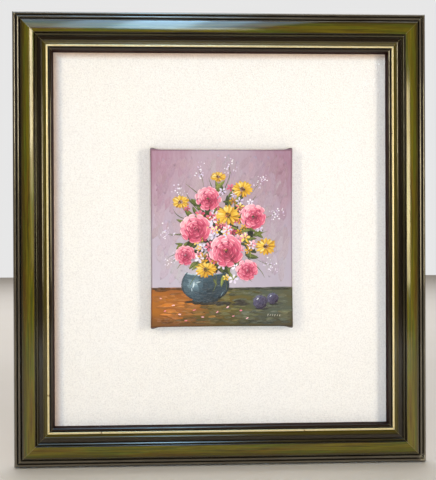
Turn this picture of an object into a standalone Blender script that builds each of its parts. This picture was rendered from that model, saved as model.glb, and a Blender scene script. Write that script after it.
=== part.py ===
# Framed oil painting: a small stretched canvas floating on a cream mount in a lacquered frame.
# The picture faces -Y and hangs on the origin, the middle of the hanger's back face.
# Sizes are in metres.

import math

import bmesh
import bpy
from mathutils import Matrix, Vector

# Driving dimensions: the painted canvas
canvas_width = 0.2032
canvas_height = 0.254
cloth_thickness = 0.0006
cloth_edge_radius = 0.0012
cloth_turn_in = 0.022
corner_swell = 0.0005
fold_rise = 0.0022
fold_inset = 0.002
fold_run = 0.0068
canvas_lift = 0.001
bar_width = 0.032
bar_thickness = 0.0158
bar_bevel_drop = 0.003
bar_face_width = 0.006

# Driving dimensions: the mount and the backing
sight_width = 0.4826
sight_height = 0.5386
mount_thickness = 0.003
backing_thickness = 0.0025
backing_set_back = 0.0032
board_play = 0.0012

# Driving dimensions: the moulding, across its face from the outer edge to the sight edge
moulding_width = 0.05715
rebate_width = 0.008
outer_cove_width = 0.0022
outer_bead_width = 0.0032
outer_quirk_width = 0.00185
second_bead_width = 0.0036
second_quirk_width = 0.0014
torus_reach = 0.02775
torus_fall_width = 0.0014
torus_fillet_width = 0.0028
fillet_round_width = 0.0007
channel_width = 0.0061
channel_lean = 0.0003
step_bead_width = 0.0024
step_slope_width = 0.0031
gilt_width = 0.003
inner_quirk_width = 0.00205
inner_quirk_lean = 0.00035
lip_bead_width = 0.0026
lip_edge_width = 0.00055

# Driving dimensions: the moulding's heights, each from the one beside it
lip_over_canvas = 0.0004
crest_over_lip = 0.0106
torus_start_drop = 0.0134
torus_tilt = 0.065
torus_end_drop = 0.0034
torus_end_angle = 12
bead_quirk_depth = 0.002
outer_bead_drop = 0.0015
outer_wall_drop = 0.0075
torus_quirk_depth = 0.001
torus_fillet_drop = 0.0036
channel_depth = 0.0066
step_bead_rise = 0.0036
step_slope_fall = 0.002
gilt_bead_rise = 0.0006
inner_quirk_depth = 0.0026
lip_edge_drop = 0.0012

# Driving dimensions: the clips and the hanger
clip_width = 0.014
clip_thickness = 0.001
clip_foot_length = 0.017
clip_toe_length = 0.01
clip_inset = 0.11
screw_shank_radius = 0.0014
screw_head_radius = 0.0033
screw_head_height = 0.0013
screw_length = 0.012
hanger_length = 0.052
hanger_height = 0.012
hanger_thickness = 0.001
hanger_stand_off = 0.002
hanger_foot_length = 0.009
hanger_ramp_length = 0.003
hanger_teeth = 7
hanger_tooth_depth = 0.002
hanger_below_edge = 0.021
nail_shank_radius = 0.0008
nail_head_radius = 0.0021
nail_head_height = 0.0008
nail_length = 0.013

# Clearances
contact_gap = 0.0003
hole_clearance = 0.0003
hole_overrun = 0.001

# How finely the curves are cut, and how closely the cloth's swelling keeps to its corners and edges
torus_steps = 14
bead_steps = 8
round_sides = 20
cloth_corner_steps = 4
cloth_side_steps = 12
swell_power = 4
fold_power = 60

# Where each layer lies, as a height over the frame's back plane
backing_back = backing_set_back
backing_front = backing_back + backing_thickness
mount_back = backing_front + contact_gap
mount_front = mount_back + mount_thickness
rebate_depth = mount_front + contact_gap
cloth_back = rebate_depth
bar_back = cloth_back + cloth_thickness + contact_gap
bar_front = bar_back + bar_thickness
cloth_front = bar_front + contact_gap + cloth_thickness
lip_height = cloth_front + lip_over_canvas
crest_height = lip_height + crest_over_lip

# Overall sizes and the frame's place behind the origin
frame_width = sight_width + 2 * moulding_width
frame_height = sight_height + 2 * moulding_width
back_plane = -(contact_gap + hanger_thickness + hanger_stand_off)
centre_height = hanger_below_edge - frame_height / 2
rebate_opening_width = sight_width + 2 * rebate_width
rebate_opening_height = sight_height + 2 * rebate_width
mitre_shift = contact_gap / 2 * math.sqrt(2)

# Each side of a rectangular frame: the direction along it and the direction in from its outer edge
side_directions = {
    "top": (Vector((1, 0, 0)), Vector((0, 0, -1))),
    "bottom": (Vector((1, 0, 0)), Vector((0, 0, 1))),
    "left": (Vector((0, 0, 1)), Vector((1, 0, 0))),
    "right": (Vector((0, 0, 1)), Vector((-1, 0, 0))),
}
to_front = Vector((0, -1, 0))
back_centre = Vector((0, back_plane, centre_height))
canvas_centre = back_centre + Vector((0, 0, canvas_lift))


def clear_scene():
    for thing in list(bpy.data.objects):
        bpy.data.objects.remove(thing, do_unlink=True)


def plain_material(name, colour, roughness, metallic):
    material = bpy.data.materials.new(name)
    material.use_nodes = True
    shader = material.node_tree.nodes["Principled BSDF"]
    shader.inputs["Base Color"].default_value = (*colour, 1)
    shader.inputs["Roughness"].default_value = roughness
    shader.inputs["Metallic"].default_value = metallic
    return material


def new_object(name, form, material):
    bmesh.ops.recalc_face_normals(form, faces=form.faces)
    mesh = bpy.data.meshes.new(name)
    form.to_mesh(mesh)
    form.free()
    mesh.materials.append(material)
    piece = bpy.data.objects.new(name, mesh)
    bpy.context.scene.collection.objects.link(piece)
    return piece


def arc(centre, radius_across, radius_up, start, end, steps):
    # Points of an ellipse's arc, with the angles in degrees and steps + 1 points
    points = []
    for step in range(steps + 1):
        angle = math.radians(start + (end - start) * step / steps)
        across = centre[0] + radius_across * math.cos(angle)
        up = centre[1] + radius_up * math.sin(angle)
        points.append((across, up))
    return points


def bead(start, width, foot_height, rise):
    # A half-round bead that stands on its quirks
    centre = (start + width / 2, foot_height)
    return arc(centre, width / 2, rise, 180, 0, bead_steps)


def moulding_profile():
    # The moulding's section: across from the outer edge, and up from the back plane
    torus_foot = crest_height - torus_start_drop
    second_foot = torus_foot - bead_quirk_depth / 2
    second_start = outer_cove_width + outer_bead_width + outer_quirk_width
    torus_start = second_start + second_bead_width + second_quirk_width
    lip_start = moulding_width - lip_edge_width - lip_bead_width
    gilt_start = lip_start - inner_quirk_width - gilt_width
    step_start = gilt_start - step_slope_width - step_bead_width
    channel_start = step_start - channel_width
    torus_end = channel_start - torus_fillet_width
    torus_arris = torus_end - torus_fall_width

    outer_foot = second_foot - outer_bead_drop
    section = [(0, 0)]
    section.append((0, torus_foot - outer_wall_drop))
    section.append((outer_cove_width / 2, outer_foot - bead_quirk_depth))
    section += bead(outer_cove_width, outer_bead_width, outer_foot, bead_quirk_depth)
    section.append((second_start - outer_quirk_width / 2, outer_foot - bead_quirk_depth / 2))
    section += bead(second_start, second_bead_width, second_foot, bead_quirk_depth)
    section.append((torus_start - second_quirk_width / 2, second_foot - bead_quirk_depth / 2))

    # The torus rises to its arris on a long arc of an ellipse, tilted up a little, and falls on a short one
    turned = math.acos(1 - (torus_arris - torus_start) / torus_reach)
    bulge = (torus_start_drop - torus_tilt * (torus_arris - torus_start)) / math.sin(turned)
    rise_centre = (torus_start + torus_reach, torus_foot)
    rise_end = 180 - math.degrees(turned)
    for across, up in arc(rise_centre, torus_reach, bulge, 180, rise_end, torus_steps):
        section.append((across, up + torus_tilt * (across - torus_start)))
    fall_centre = (torus_arris, crest_height - torus_end_drop)
    fall = arc(fall_centre, torus_fall_width, torus_end_drop, 90, torus_end_angle, bead_steps)
    section += fall[1:]

    fillet_height = crest_height - torus_fillet_drop
    section.append((torus_end, fillet_height - torus_quirk_depth))
    section.append((torus_end + fillet_round_width, fillet_height))
    section.append((channel_start - channel_lean, fillet_height))

    channel_floor = fillet_height - channel_depth
    section.append((channel_start, channel_floor))
    section.append((step_start - channel_lean, channel_floor))
    step_foot = channel_floor + step_bead_rise - step_bead_width / 2
    section += bead(step_start, step_bead_width, step_foot, step_bead_width / 2)

    gilt_foot = step_foot - step_slope_fall
    quirk_floor = gilt_foot - inner_quirk_depth
    section += bead(gilt_start, gilt_width, gilt_foot, gilt_bead_rise)
    section.append((gilt_start + gilt_width + inner_quirk_lean, quirk_floor))
    section.append((lip_start - inner_quirk_lean, quirk_floor))

    lip_foot = lip_height - lip_bead_width / 2
    section += bead(lip_start, lip_bead_width, lip_foot, lip_bead_width / 2)
    section.append((moulding_width, lip_foot - lip_edge_drop))
    section.append((moulding_width, rebate_depth))
    section.append((moulding_width - rebate_width, rebate_depth))
    section.append((moulding_width - rebate_width, 0))
    return section


def mitred_length(name, side, outer_size, base, section, material):
    # One side of a rectangle: a section carried along it, cut off at 45 degrees at both ends
    along, inward = side_directions[side]
    length = outer_size[0] if side in ("top", "bottom") else outer_size[1]
    reach = outer_size[1] if side in ("top", "bottom") else outer_size[0]
    form = bmesh.new()
    rings = []
    for end in (-1, 1):
        ring = []
        for across, up in section:
            travel = end * (length / 2 - across - mitre_shift)
            place = base + along * travel + inward * (across - reach / 2) + to_front * up
            ring.append(form.verts.new(place))
        rings.append(ring)
    first, last = rings
    count = len(section)
    for index in range(count):
        after = (index + 1) % count
        form.faces.new((first[index], first[after], last[after], last[index]))
    form.faces.new(first)
    form.faces.new(last)
    return new_object(name, form, material)


def make_frame():
    lacquer = plain_material("olive_lacquer", (0.085, 0.075, 0.012), 0.25, 0)
    section = moulding_profile()
    outer_size = (frame_width, frame_height)
    for side in side_directions:
        mitred_length(f"frame_rail_{side}", side, outer_size, back_centre, section, lacquer)


def make_stretcher():
    pine = plain_material("pine", (0.62, 0.43, 0.24), 0.7, 0)
    skin = 2 * (cloth_thickness + contact_gap)
    outer_size = (canvas_width - skin, canvas_height - skin)
    section = [
        (0, 0),
        (0, bar_thickness),
        (bar_face_width, bar_thickness),
        (bar_width, bar_thickness - bar_bevel_drop),
        (bar_width, 0),
    ]
    base = canvas_centre + to_front * bar_back
    for side in side_directions:
        mitred_length(f"stretcher_bar_{side}", side, outer_size, base, section, pine)


def slab(name, width, height, back_height, thickness, material):
    form = bmesh.new()
    middle = back_centre + to_front * (back_height + thickness / 2)
    size = Matrix.Diagonal((width, thickness, height, 1))
    bmesh.ops.create_cube(form, size=1, matrix=Matrix.Translation(middle) @ size)
    return new_object(name, form, material)


def make_boards():
    width = rebate_opening_width - 2 * board_play
    height = rebate_opening_height - 2 * board_play
    cream_paper = plain_material("cream_paper", (0.86, 0.82, 0.76), 0.85, 0)
    hardboard = plain_material("hardboard", (0.32, 0.19, 0.1), 0.8, 0)
    slab("mount_board", width, height, mount_back, mount_thickness, cream_paper)
    slab("backing_board", width, height, backing_back, backing_thickness, hardboard)


def cloth_outline(half_width, half_height, radius, swell, rise):
    # Points round a rectangle with round corners. Its sides swell towards the corners, where the
    # folded cloth is thicker, and the folds stand up from the top and bottom edges.
    corners = []
    for sign_x, sign_z, start in ((1, 1, 0), (-1, 1, 90), (-1, -1, 180), (1, -1, 270)):
        centre = (sign_x * (half_width - radius), sign_z * (half_height - radius))
        corners.append(arc(centre, radius, radius, start, start + 90, cloth_corner_steps))
    points = []
    for index, corner in enumerate(corners):
        points += corner
        begin = corner[-1]
        end = corners[(index + 1) % 4][0]
        for step in range(1, cloth_side_steps):
            # The points gather towards the corners, where the folds are
            share = (1 - math.cos(math.pi * step / cloth_side_steps)) / 2
            x = begin[0] + (end[0] - begin[0]) * share
            z = begin[1] + (end[1] - begin[1]) * share
            points.append((x, z))
    shaped = []
    for x, z in points:
        out_x = abs(x) / half_width
        out_z = abs(z) / half_height
        from_peak = half_width - fold_inset - abs(x)
        fold = rise * math.exp(-((from_peak / fold_run) ** 2)) * out_z ** fold_power
        wide = x + math.copysign(swell * out_z ** swell_power * out_x ** swell_power, x)
        tall = z + math.copysign(swell * out_x ** swell_power * out_z ** swell_power + fold, z)
        shaped.append((wide, tall))
    return shaped


def make_canvas():
    # A five-sided wrap of cloth, turned in behind the bars, as one shell with its true thickness
    painted_cloth = plain_material("painted_cloth", (0.5, 0.35, 0.42), 0.45, 0)
    half_width = canvas_width / 2
    half_height = canvas_height / 2
    inner_width = half_width - cloth_thickness
    inner_height = half_height - cloth_thickness
    radius = cloth_edge_radius
    round_in = radius * (1 - math.sqrt(0.5))
    rings = []

    def ring(inset, height, outside):
        if outside:
            line = cloth_outline(half_width - inset, half_height - inset, radius, corner_swell, fold_rise)
        else:
            line = cloth_outline(inner_width - inset, inner_height - inset, radius / 2, 0, 0)
        rings.append([(x, z, height) for x, z in line])

    # Outside, from the turned-in edge round the back, up the sides and on to the face
    ring(cloth_turn_in, cloth_back, False)
    ring(0, cloth_back, True)
    ring(0, cloth_front - radius, True)
    ring(round_in, cloth_front - round_in, True)
    ring(radius, cloth_front, True)
    # Inside, from the turned-in edge back to the face
    ring(cloth_turn_in, cloth_back + cloth_thickness, False)
    ring(0, cloth_back + cloth_thickness, False)
    ring(0, cloth_front - cloth_thickness, False)

    form = bmesh.new()
    verts = []
    for line in rings:
        places = []
        for x, z, height in line:
            places.append(form.verts.new(canvas_centre + Vector((x, 0, z)) + to_front * height))
        verts.append(places)
    outside, inside = verts[:5], verts[5:]
    count = len(rings[0])
    for chain in (outside, inside, [outside[0], inside[0]]):
        for lower, upper in zip(chain, chain[1:]):
            for index in range(count):
                after = (index + 1) % count
                form.faces.new((lower[index], lower[after], upper[after], upper[index]))
    form.faces.new(outside[-1])
    form.faces.new(inside[-1])
    new_object("painted_canvas", form, painted_cloth)


def pin(name, centre, direction, parts, material):
    # A turned pin on one axis: parts is a list of (start, end, radius) along the direction, joined
    turn = direction.to_track_quat("Z", "Y").to_matrix().to_4x4()
    form = bmesh.new()
    rings = []
    for start, end, radius in parts:
        for travel in (start, end):
            ring = []
            for x, y in arc((0, 0), radius, radius, 0, 360, round_sides)[:-1]:
                ring.append(form.verts.new(centre + turn @ Vector((x, y, travel))))
            rings.append(ring)
    for lower, upper in zip(rings, rings[1:]):
        for index in range(round_sides):
            after = (index + 1) % round_sides
            form.faces.new((lower[index], lower[after], upper[after], upper[index]))
    form.faces.new(rings[0])
    form.faces.new(rings[-1])
    return new_object(name, form, material)


def bore(piece, name, centre, direction, start, end, radius):
    # Cuts a round hole into a piece
    cutter = pin(name, centre, direction, [(start, end, radius)], piece.data.materials[0])
    cutter.hide_render = True
    cutter.display_type = "WIRE"
    cut = piece.modifiers.new(name, "BOOLEAN")
    cut.object = cutter
    cut.operation = "DIFFERENCE"
    cut.solver = "EXACT"


def clip_places():
    # Two clips on each side: the side, and the distance from the side's middle
    places = []
    for side in side_directions:
        length = frame_width if side in ("top", "bottom") else frame_height
        for end in (-1, 1):
            places.append((side, end * (length / 2 - moulding_width - clip_inset)))
    return places


def make_clips():
    steel = plain_material("zinc_steel", (0.62, 0.6, 0.55), 0.35, 1)
    screw_steel = plain_material("brass_screw", (0.66, 0.5, 0.24), 0.35, 1)
    rebate_wall = moulding_width - rebate_width
    foot_start = rebate_wall + clip_thickness - clip_foot_length
    riser = rebate_wall + 2 * contact_gap
    foot_top = -contact_gap
    toe_top = backing_back - contact_gap
    section = [
        (foot_start, foot_top),
        (riser, foot_top),
        (riser, toe_top),
        (riser + clip_toe_length, toe_top),
        (riser + clip_toe_length, toe_top - clip_thickness),
        (riser + clip_thickness, toe_top - clip_thickness),
        (riser + clip_thickness, foot_top - clip_thickness),
        (foot_start, foot_top - clip_thickness),
    ]
    screw_across = (foot_start + riser) / 2
    for number, (side, travel) in enumerate(clip_places(), start=1):
        along, inward = side_directions[side]
        reach = frame_height if side in ("top", "bottom") else frame_width
        base = back_centre + along * travel - inward * (reach / 2)
        form = bmesh.new()
        rings = []
        for end in (-1, 1):
            ring = []
            for across, up in section:
                place = base + along * (end * clip_width / 2) + inward * across + to_front * up
                ring.append(form.verts.new(place))
            rings.append(ring)
        for index in range(len(section)):
            after = (index + 1) % len(section)
            form.faces.new((rings[0][index], rings[0][after], rings[1][after], rings[1][index]))
        form.faces.new(rings[0])
        form.faces.new(rings[1])
        clip = new_object(f"board_clip_{number}", form, steel)

        centre = base + inward * screw_across
        head_seat = foot_top - clip_thickness - contact_gap
        tip = head_seat + screw_length
        head_top = head_seat - screw_head_height
        parts = [
            (head_top, head_seat, screw_head_radius),
            (head_seat, tip, screw_shank_radius),
        ]
        pin(f"clip_screw_{number}", centre, to_front, parts, screw_steel)
        hole_radius = screw_shank_radius + hole_clearance
        clear_of = clip_thickness + hole_overrun
        bore(clip, f"clip_hole_{number}", centre, to_front, -clear_of, hole_overrun, hole_radius)
        rail = bpy.data.objects[f"frame_rail_{side}"]
        bore(rail, f"rail_hole_{number}", centre, to_front, -hole_overrun, tip + contact_gap, hole_radius)


def hanger_stations():
    # Places along the plate: the distance from its middle, how far it stands off, and the tooth depth
    half = hanger_length / 2
    ramp_end = half - hanger_foot_length
    ramp_start = ramp_end - hanger_ramp_length
    half_pitch = ramp_start / hanger_teeth
    stations = [(-half, 0, 0), (-ramp_end, 0, 0)]
    for step in range(2 * hanger_teeth + 1):
        deep = hanger_tooth_depth if step % 2 else 0
        stations.append((-ramp_start + step * half_pitch, 1, deep))
    stations += [(ramp_end, 0, 0), (half, 0, 0)]
    return stations


def make_hanger():
    brassed_steel = plain_material("brassed_steel", (0.66, 0.5, 0.24), 0.35, 1)
    rows = []
    form = bmesh.new()
    for travel, raised, tooth in hanger_stations():
        back = -hanger_stand_off * (1 - raised)
        front = back - hanger_thickness
        bottom = -hanger_height / 2 + tooth
        top = hanger_height / 2
        corners = ((back, bottom), (back, top), (front, top), (front, bottom))
        rows.append([form.verts.new((travel, y, z)) for y, z in corners])
    for left, right in zip(rows, rows[1:]):
        for index in range(4):
            after = (index + 1) % 4
            form.faces.new((left[index], left[after], right[after], right[index]))
    form.faces.new(rows[0])
    form.faces.new(rows[-1])
    hanger = new_object("sawtooth_hanger", form, brassed_steel)

    rail = bpy.data.objects["frame_rail_top"]
    nail_travel = (hanger_length - hanger_foot_length) / 2
    for number, end in enumerate((-1, 1), start=1):
        centre = Vector((end * nail_travel, 0, 0))
        seat = hanger_stand_off - contact_gap
        tip = seat + nail_length
        parts = [
            (seat - nail_head_height, seat, nail_head_radius),
            (seat, tip, nail_shank_radius),
        ]
        pin(f"hanger_nail_{number}", centre, to_front, parts, brassed_steel)
        hole_radius = nail_shank_radius + hole_clearance
        bore(hanger, f"hanger_hole_{number}", centre, to_front, -hole_overrun, -back_plane, hole_radius)
        bore(rail, f"nail_hole_{number}", centre, to_front, hanger_stand_off, tip + contact_gap, hole_radius)


clear_scene()
make_frame()
make_stretcher()
make_boards()
make_canvas()
make_clips()
make_hanger()
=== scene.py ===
import math

import bpy
import numpy as np
from mathutils import Matrix, Vector


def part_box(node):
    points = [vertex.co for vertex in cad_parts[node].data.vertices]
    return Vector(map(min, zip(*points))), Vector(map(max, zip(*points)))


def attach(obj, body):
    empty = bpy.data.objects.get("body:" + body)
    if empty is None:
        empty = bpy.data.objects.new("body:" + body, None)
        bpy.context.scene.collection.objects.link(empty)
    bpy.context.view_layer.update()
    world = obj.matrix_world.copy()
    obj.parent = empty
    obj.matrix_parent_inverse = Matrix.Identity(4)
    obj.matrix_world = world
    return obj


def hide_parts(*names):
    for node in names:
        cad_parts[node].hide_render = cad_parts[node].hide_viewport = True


# Looks of a small framed oil painting: moulding, gilt line, mount board, canvas and paint.
# Metres throughout, unless a name ends in Mm or a note says mm. The picture faces -Y and +Z is up.

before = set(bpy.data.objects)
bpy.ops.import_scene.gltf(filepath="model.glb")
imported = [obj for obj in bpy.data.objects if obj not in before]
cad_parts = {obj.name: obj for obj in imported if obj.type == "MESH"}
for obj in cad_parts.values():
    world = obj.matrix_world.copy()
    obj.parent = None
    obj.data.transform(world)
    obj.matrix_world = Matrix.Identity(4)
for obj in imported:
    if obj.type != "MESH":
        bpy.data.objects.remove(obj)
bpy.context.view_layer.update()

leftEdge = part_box("frame_rail_left")[0].x
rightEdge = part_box("frame_rail_right")[1].x
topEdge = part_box("frame_rail_top")[1].z
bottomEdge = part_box("frame_rail_bottom")[0].z
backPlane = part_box("frame_rail_left")[1].y
frameMiddle = Vector(((leftEdge + rightEdge) / 2, backPlane, (topEdge + bottomEdge) / 2))
clothLow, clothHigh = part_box("painted_canvas")
canvasMiddle = Vector((0, 0, (clothLow.z + clothHigh.z) / 2))
canvasFront, canvasBack = clothLow.y, clothHigh.y


# Helpers for node materials and meshes. A new node goes into the tree of the socket that it is given.
def toLight(screen):
    # colours as they look on a screen, 0 to 255, turned into light by the screen's own curve
    part = np.clip(np.asarray(screen, dtype=float), 0, 255) / 255
    return np.where(part <= 0.04045, part / 12.92, ((part + 0.055) / 1.055) ** 2.4)


def paintColour(value):
    # three numbers are a colour as on a screen; four numbers are light, and a socket is left as it is
    if hasattr(value, "is_linked") or len(value) == 4:
        return value
    return (*toLight(value).tolist(), 1.0)


def newMaterial(name):
    material = bpy.data.materials.new(name)
    material.use_nodes = True
    return material, material.node_tree, material.node_tree.nodes["Principled BSDF"]


def fillInputs(node, values):
    # a socket among the values is linked, and any other value is written on the node's own socket
    for key, value in values.items():
        if hasattr(value, "is_linked"):
            node.id_data.links.new(value, node.inputs[key])
        else:
            node.inputs[key].default_value = value


def addNode(tree, kind, settings=None, values=None):
    made = tree.nodes.new(kind)
    for key, value in (settings or {}).items():
        setattr(made, key, value)
    fillInputs(made, values or {})
    return made


def objectPlace(tree):
    return addNode(tree, "ShaderNodeTexCoord").outputs["Object"]


def mapPlace(tree, name):
    return addNode(tree, "ShaderNodeUVMap", {"uv_map": name}).outputs["UV"]


def stretched(where, scale, turn=(0, 0, 0)):
    values = {"Vector": where, "Scale": scale, "Rotation": turn}
    return addNode(where.id_data, "ShaderNodeMapping", None, values).outputs["Vector"]


def noise(where, scale=1.0, detail=3.0, roughness=0.5, distortion=0.0):
    values = {"Vector": where, "Scale": scale, "Detail": detail, "Roughness": roughness,
              "Distortion": distortion}
    return addNode(where.id_data, "ShaderNodeTexNoise", None, values).outputs["Fac"]


def fitRange(value, fromLow, fromHigh, toLow=0.0, toHigh=1.0, smooth=False):
    settings = {"interpolation_type": "SMOOTHSTEP" if smooth else "LINEAR"}
    values = {"Value": value, "From Min": fromLow, "From Max": fromHigh, "To Min": toLow, "To Max": toHigh}
    return addNode(value.id_data, "ShaderNodeMapRange", settings, values).outputs["Result"]


def sums(operation, first, second):
    # one step of arithmetic; either number may be a plain one
    tree = next(one.id_data for one in (first, second) if hasattr(one, "is_linked"))
    return addNode(tree, "ShaderNodeMath", {"operation": operation}, {0: first, 1: second}).outputs[0]


def mixColours(factor, first, second, blend="MIX"):
    return addNode(factor.id_data, "ShaderNodeMix", {"data_type": "RGBA", "blend_type": blend},
                   {0: factor, 6: paintColour(first), 7: paintColour(second)}).outputs[2]


def colourBands(value, stops):
    made = addNode(value.id_data, "ShaderNodeValToRGB", None, {"Fac": value})
    stops = [(position, paintColour(colour)) for position, colour in stops]
    band = made.color_ramp
    band.elements[0].position, band.elements[0].color = stops[0]
    band.elements[1].position, band.elements[1].color = stops[-1]
    for position, colour in stops[1:-1]:
        band.elements.new(position).color = colour
    return made.outputs["Color"]


def raised(height, distance, under=None):
    values = {"Height": height, "Distance": distance, "Strength": 1.0}
    if under is not None:
        values["Normal"] = under
    return addNode(height.id_data, "ShaderNodeBump", None, values).outputs["Normal"]


def readAttribute(tree, name):
    return addNode(tree, "ShaderNodeAttribute", {"attribute_name": name})


def gridFaces(rows, columns):
    # quads of a tube's grid, whose points run row by row; the last column joins the first
    row = np.arange(rows - 1)[:, None]
    column = np.arange(columns)[None, :]
    after = (column + 1) % columns
    quads = [row * columns + column, row * columns + after, (row + 1) * columns + after,
             (row + 1) * columns + column]
    return np.stack(quads, -1).reshape(-1, 4)


def newPiece(name, points, faces, material):
    mesh = bpy.data.meshes.new(name)
    mesh.from_pydata(np.asarray(points).reshape(-1, 3).tolist(), [], faces)
    mesh.materials.append(material)
    mesh.polygons.foreach_set("use_smooth", np.ones(len(mesh.polygons), dtype=bool))
    mesh.update()
    piece = bpy.data.objects.new(name, mesh)
    bpy.context.scene.collection.objects.link(piece)
    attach(piece, "root")
    return piece


def turnOutwards(mesh):
    # a closed shell whose signed volume is negative has its faces turned
    mesh.calc_loop_triangles()
    corners = np.zeros(len(mesh.loop_triangles) * 3, dtype=np.int32)
    mesh.loop_triangles.foreach_get("vertices", corners)
    place = np.zeros(len(mesh.vertices) * 3)
    mesh.vertices.foreach_get("co", place)
    a, b, c = place.reshape(-1, 3)[corners].reshape(-1, 3, 3).transpose(1, 0, 2)
    if np.einsum("ij,ij->i", a, np.cross(b, c)).sum() < 0:
        mesh.flip_normals()


def writeAttribute(piece, name, values, kind="FLOAT", field="value"):
    layer = piece.data.attributes.new(name, kind, "POINT")
    layer.data.foreach_set(field, np.asarray(values, dtype=np.float32).ravel())


def enclosedVolume(points, quads):
    # signed volume of a closed shell, positive when its faces point outwards
    a, b, c, d = (points[quads[:, k]] for k in range(4))
    return (np.einsum("ij,ij->i", a, np.cross(b, c)) + np.einsum("ij,ij->i", a, np.cross(c, d))).sum() / 6


def closedLength(points, rows, count):
    # The wall of a length is its grid's quads, and each end is one face. All of them are turned round where
    # the signed volume is negative.
    quads = gridFaces(rows, count)
    ends = [list(range(count - 1, -1, -1)), list(range(len(points) - count, len(points)))]
    if enclosedVolume(points, quads) < 0:
        return quads[:, ::-1], [end[::-1] for end in ends]
    return quads, ends


# The moulding, one profile carried along four sides
moulding = {
    "gapMm": 0.04,            # between two lengths at a mitre
    "stepMm": 0.28,           # between the section's points
    "roundingMm": 0.16,       # how far the corners of the section are rounded
    "stations": 39,           # rows of points along each length
    "endRow": 0.0008,         # how far the last row but one lies from a mitre, as a share
    "rebate": ((53.0, 9.3), (49.15, 9.3), (49.15, 4.5), (49.15, 0.0), (40, 0.0), (30, 0.0), (20, 0.0),
               (10, 0.0)),    # the hidden side of the section, in mm
    "wallDepthMm": 0.15,      # faces this near the sight edge are the inner wall
    "olive": (104, 94, 16),
    "oliveDark": (72, 62, 10),
    "brown": (40, 28, 8),
    # the beads' pale grey-brown is partly their lacquer and partly a painted sheen
    "bead": (88, 80, 68),
    # black and channel are painted shade: the outer edge, the quirks and the channel are coloured near black
    # and dark brown where shade falls
    "black": (9, 6, 2),
    "channel": (33, 22, 11),
    "fillet": (54, 47, 22),
    "lip": (40, 24, 14),
    "innerWall": (46, 14, 9),
    "innerWallDark": (26, 8, 5),
    "greenStreak": (78, 90, 22),
    "brownStreak": (96, 70, 18),
    "bare": (186, 158, 118),
    "seam": (150, 138, 92),
    "chip": (168, 156, 134),
    "chipFromEdge": 0.0065,
    # the colour across the moulding, by the share of its width from the outer edge; the black bands and the
    # channel are painted shade
    "bands": ((0.0, "black"), (0.04, "bead"), (0.19, "bead"), (0.205, "black"), (0.225, "brown"),
              (0.29, "oliveDark"), (0.40, "olive"), (0.56, "olive"), (0.582, "brown"), (0.602, "black"),
              (0.618, "fillet"), (0.645, "fillet"), (0.66, "channel"), (0.75, "channel"),
              (0.765, "fillet"), (0.80, "oliveDark"), (0.85, "oliveDark"), (0.9, "black"),
              (0.955, "lip"), (1.0, "lip")),
}

# The section's sizes are in mm, counted from the outer edge and up from the back plane
widthMm = 57.15
torus = {"start": 12.25, "arris": 33.15, "reach": 27.75, "foot": 24.5, "rise": 13.4, "tilt": 0.065}
giltBead = (50.45, 1.5, 28.1, 0.6)      # middle, half width, foot and rise
# each small reed: where it starts and ends, its foot on both sides, its top, and the tilt of its back at
# both ends in degrees; a reed that falls inwards has a negative tilt
reeds = {
    "outerReed": (2.3, 5.3, 22.0, 22.0, 24.0, 23, 6),
    "secondReed": (7.35, 10.75, 23.5, 23.5, 25.5, 23, 6),
    "fillet": (34.75, 37.25, 33.2, 32.4, 34.3, -24, -46),
    "stepReed": (42.75, 45.45, 27.9, 29.3, 31.3, -22, -37),
    "lipReed": (53.85, 56.6, 25.2, 25.4, 27.25, -22, -38),
}


def arcMm(centre, across, up, start, end, count):
    # points of an ellipse between two angles in degrees, by the cosine across and the sine up
    angle = np.radians(np.linspace(start, end, count))
    return np.stack([centre[0] + across * np.cos(angle), centre[1] + up * np.sin(angle)], -1)


def reedMm(name, wall=0.32):
    # A reed is two short steep walls with a gently curved back between them. The back's slope changes
    # evenly from one tilt to the other, so its height is the running sum of that slope.
    start, end, footOut, footIn, top, tiltOut, tiltIn = reeds[name]
    across = np.linspace(start + wall, end - wall, 18)
    slope = np.linspace(math.tan(math.radians(tiltOut)), math.tan(math.radians(tiltIn)), 18)
    height = np.cumsum(slope) * (across[1] - across[0])
    back = np.stack([across, height - height.max() + top], -1)
    return np.concatenate([[(start, footOut)], back, [(end, footIn)]])


def torusMm():
    # the torus rises from its foot to its arris on a long arc of an ellipse, tilted up a little
    start, reach, wide = torus["start"], torus["reach"], torus["arris"] - torus["start"]
    turned = math.acos(1 - wide / reach)
    bulge = (torus["rise"] - torus["tilt"] * wide) / math.sin(turned)
    line = arcMm((start + reach, torus["foot"]), reach, bulge, 180, 180 - math.degrees(turned), 80)
    line[:, 1] += torus["tilt"] * (line[:, 0] - start)
    return line


def mouldingSection():
    # The section in mm: across from the outer edge, and up from the back plane. The line is cut at even
    # steps, then each corner is rounded by a bell-shaped average of the points near it.
    line = np.concatenate([
        [(0.25, 0.0), (0.0, 0.25), (0, 16.9), (0.35, 17.9), (1.1, 20.0)],
        reedMm("outerReed"), [(6.1, 21.05), (6.55, 21.05)], reedMm("secondReed"),
        [(11.4, 22.5), (11.7, 22.5)],
        torusMm(), arcMm((torus["arris"], 34.5), 1.4, 3.4, 90, 12, 20)[1:], reedMm("fillet"),
        [(37.4, 27.9), (37.65, 27.7), (42.55, 27.7)], reedMm("stepReed"), [(48.7, 28.15)],
        arcMm(giltBead[::2], giltBead[1], giltBead[3], 180, 0, 24),
        [(52.1, 25.2), (53.7, 25.2)], reedMm("lipReed"), [(widthMm, 24.8), (widthMm, 9.3)],
    ])
    pace = np.concatenate([[0], np.cumsum(np.linalg.norm(np.diff(line, axis=0), axis=1))])
    even = np.linspace(0, pace[-1], int(pace[-1] / moulding["stepMm"]))
    line = np.stack([np.interp(even, pace, line[:, k]) for k in (0, 1)], -1)
    away = np.abs(even[:, None] - even[None, :]) / moulding["roundingMm"]
    weight = np.exp(-0.5 * away ** 2)
    weight /= weight.sum(1, keepdims=True)
    smooth = weight @ line
    smooth[[0, -1]] = line[[0, -1]]
    return smooth


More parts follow.
